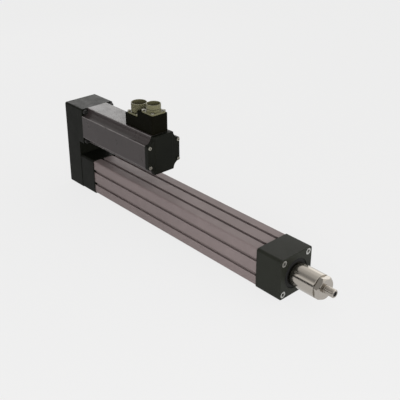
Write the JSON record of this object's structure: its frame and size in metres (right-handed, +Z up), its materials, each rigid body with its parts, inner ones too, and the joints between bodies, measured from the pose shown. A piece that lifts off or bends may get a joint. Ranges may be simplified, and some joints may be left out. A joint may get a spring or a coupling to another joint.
{
  "type": "roller screw electric cylinder",
  "caption": "Square electric cylinder with a planetary roller screw, a belt drive and a servo motor folded back above the tube; the rod slides out of a black front head.",
  "frame": {"origin": "centre of the four base bolts, on the plane that the end blocks stand on", "axes": "+X along the thrust axis towards the rod end, +Z up towards the motor"},
  "size_m": [0.575, 0.064, 0.196],
  "materials": {
    "tube_aluminium": "satin anodised, warm grey",
    "motor_aluminium": "satin anodised, grey",
    "black_aluminium": "matte black anodised",
    "chromed_steel": "ground and hard chromed",
    "bearing_steel": "ground steel",
    "screw_steel": "zinc plated",
    "black_steel": "black oxide",
    "pulley_aluminium": "machined",
    "core_iron": "stacked sheet",
    "magnet": "nickel coated",
    "copper": "enamelled copper",
    "bronze": "sintered bronze",
    "connector_metal": "olive nickel plating",
    "contact_gold": "gold flash",
    "block_plastic": "black, fine grain",
    "dark_plastic": "black",
    "guide_plastic": "brown, self-lubricating",
    "seal_rubber": "black"
  },
  "bodies": {
    "housing": {"cylinder_tube": "tube_aluminium", "motor_housing": "motor_aluminium", "front_head": "black_aluminium", "rear_block": "black_aluminium", "belt_housing": "black_aluminium", "belt_cover": "black_aluminium", "motor_flange": "black_aluminium", "motor_rear_cap": "black_aluminium", "motor_rear_bell": "black_aluminium", "screw_bearing_outer": "bearing_steel", "motor_bearing_outer": "bearing_steel", "bearing_retainer": "bearing_steel", "head_screws": "screw_steel", "tube_screws": "screw_steel", "housing_screws": "screw_steel", "belt_cover_screws": "screw_steel", "motor_cap_screws": "screw_steel", "connector_screws": "screw_steel", "motor_mount_screws": "black_steel", "stator_core": "core_iron", "stator_windings": "copper", "rod_bushing": "bronze", "power_connector": "connector_metal", "signal_connector": "connector_metal", "connector_pins": "contact_gold", "connector_block": "block_plastic", "connector_inserts": "dark_plastic", "encoder_reader": "dark_plastic", "rod_seal": "seal_rubber", "rod_wiper": "seal_rubber", "front_bumper": "seal_rubber", "rear_bumper": "seal_rubber", "timing_belt": "seal_rubber"},
    "rod": {"rod_tube": "chromed_steel", "rod_end": "chromed_steel", "nut_body": "bearing_steel", "nut_coupling": "bearing_steel", "anti_rotation_keys": "bearing_steel", "guide_ring": "guide_plastic", "nut_ring_gears": "bearing_steel", "nut_snap_rings": "bearing_steel"},
    "screw": {"screw_shaft": "bearing_steel", "screw_bearing_inner": "bearing_steel", "screw_lock_nut": "bearing_steel", "driven_pulley": "pulley_aluminium"},
    "rotor": {"rotor_shaft": "bearing_steel", "rotor_core": "core_iron", "rotor_magnets": "magnet", "motor_pulley": "pulley_aluminium", "encoder_disc": "dark_plastic", "motor_bearing_inner": "bearing_steel"},
    "carrier": {"roller_carrier": "bearing_steel"},
    "planet_1": {"roller_1": "bearing_steel"},
    "planet_2": {"roller_2": "bearing_steel"},
    "planet_3": {"roller_3": "bearing_steel"},
    "planet_4": {"roller_4": "bearing_steel"},
    "planet_5": {"roller_5": "bearing_steel"},
    "planet_6": {"roller_6": "bearing_steel"},
    "planet_7": {"roller_7": "bearing_steel"},
    "planet_8": {"roller_8": "bearing_steel"}
  },
  "joints": [
    {"name": "rod_slide", "type": "slide", "parent": "housing", "child": "rod", "axis": [1, 0, 0], "range_m": [0, 0.28]},
    {"name": "screw_spin", "type": "hinge", "parent": "housing", "child": "screw", "pos_m": [0, 0, 0.0315], "axis": [1, 0, 0], "range_deg": [-10082, 2]},
    {"name": "motor_spin", "type": "hinge", "parent": "housing", "child": "rotor", "pos_m": [0, 0, 0.1185], "axis": [1, 0, 0], "range_deg": [-10082, 2]},
    {"name": "carrier_spin", "type": "hinge", "parent": "rod", "child": "carrier", "pos_m": [0, 0, 0.0315], "axis": [1, 0, 0], "range_deg": [-3782, 2]},
    {"name": "roller_1_spin", "type": "hinge", "parent": "carrier", "child": "planet_1", "pos_m": [0, 0.0132, 0.0315], "axis": [1, 0, 0], "range_deg": [-2, 18902]},
    {"name": "roller_2_spin", "type": "hinge", "parent": "carrier", "child": "planet_2", "pos_m": [0, 0.00933, 0.04083], "axis": [1, 0, 0], "range_deg": [-2, 18902]},
    {"name": "roller_3_spin", "type": "hinge", "parent": "carrier", "child": "planet_3", "pos_m": [0, 0, 0.0447], "axis": [1, 0, 0], "range_deg": [-2, 18902]},
    {"name": "roller_4_spin", "type": "hinge", "parent": "carrier", "child": "planet_4", "pos_m": [0, -0.00933, 0.04083], "axis": [1, 0, 0], "range_deg": [-2, 18902]},
    {"name": "roller_5_spin", "type": "hinge", "parent": "carrier", "child": "planet_5", "pos_m": [0, -0.0132, 0.0315], "axis": [1, 0, 0], "range_deg": [-2, 18902]},
    {"name": "roller_6_spin", "type": "hinge", "parent": "carrier", "child": "planet_6", "pos_m": [0, -0.00933, 0.02217], "axis": [1, 0, 0], "range_deg": [-2, 18902]},
    {"name": "roller_7_spin", "type": "hinge", "parent": "carrier", "child": "planet_7", "pos_m": [0, 0, 0.0183], "axis": [1, 0, 0], "range_deg": [-2, 18902]},
    {"name": "roller_8_spin", "type": "hinge", "parent": "carrier", "child": "planet_8", "pos_m": [0, 0.00933, 0.02217], "axis": [1, 0, 0], "range_deg": [-2, 18902]}
  ],
  "couplings": [
    {"joint": "screw_spin", "follows": "rod_slide", "rad_per_m": -628.32},
    {"joint": "motor_spin", "follows": "rod_slide", "rad_per_m": -628.32},
    {"joint": "carrier_spin", "follows": "rod_slide", "rad_per_m": -235.62},
    {"joint": "roller_1_spin", "follows": "rod_slide", "rad_per_m": 1178.1},
    {"joint": "roller_2_spin", "follows": "rod_slide", "rad_per_m": 1178.1},
    {"joint": "roller_3_spin", "follows": "rod_slide", "rad_per_m": 1178.1},
    {"joint": "roller_4_spin", "follows": "rod_slide", "rad_per_m": 1178.1},
    {"joint": "roller_5_spin", "follows": "rod_slide", "rad_per_m": 1178.1},
    {"joint": "roller_6_spin", "follows": "rod_slide", "rad_per_m": 1178.1},
    {"joint": "roller_7_spin", "follows": "rod_slide", "rad_per_m": 1178.1},
    {"joint": "roller_8_spin", "follows": "rod_slide", "rad_per_m": 1178.1}
  ]
}
